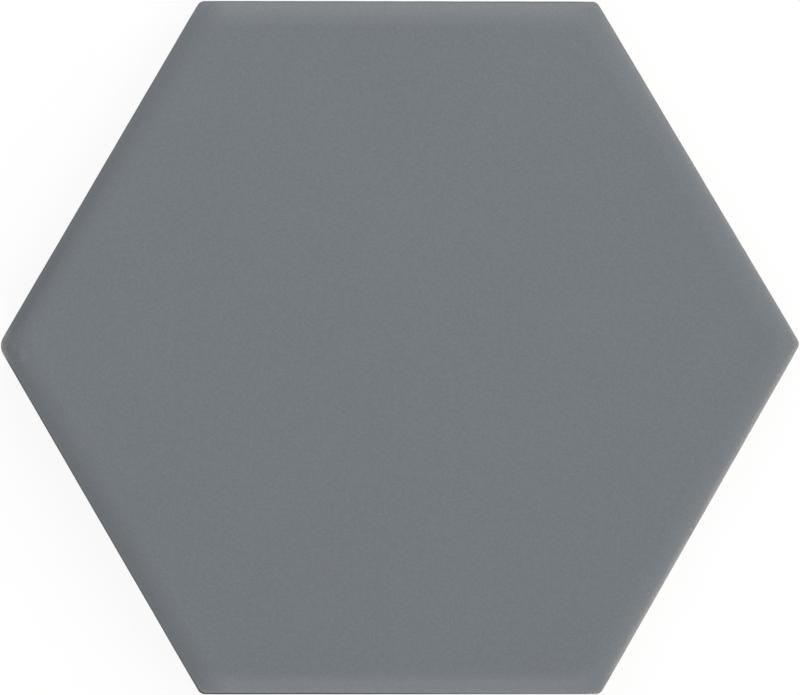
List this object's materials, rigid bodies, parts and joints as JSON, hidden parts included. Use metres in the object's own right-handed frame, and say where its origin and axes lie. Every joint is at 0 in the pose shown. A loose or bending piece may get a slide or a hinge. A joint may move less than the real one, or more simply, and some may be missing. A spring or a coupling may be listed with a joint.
{
  "type": "hexagon tile",
  "caption": "Hexagonal floor or wall tile in matt blue-grey glazed porcelain, flat with softly rolled-off edges, upright sides to grout against and a keyed back.",
  "frame": {"origin": "middle of the tile's back, on the plane it rests on", "axes": "+Z out of the glazed face, +X towards a corner (right in the picture), +Y towards the middle of a side (top in the picture)"},
  "size_m": [0.1161, 0.101, 0.009],
  "materials": {
    "glaze": "matte"
  },
  "bodies": {
    "root": {"hexagon_tile": "glaze"}
  },
  "joints": []
}
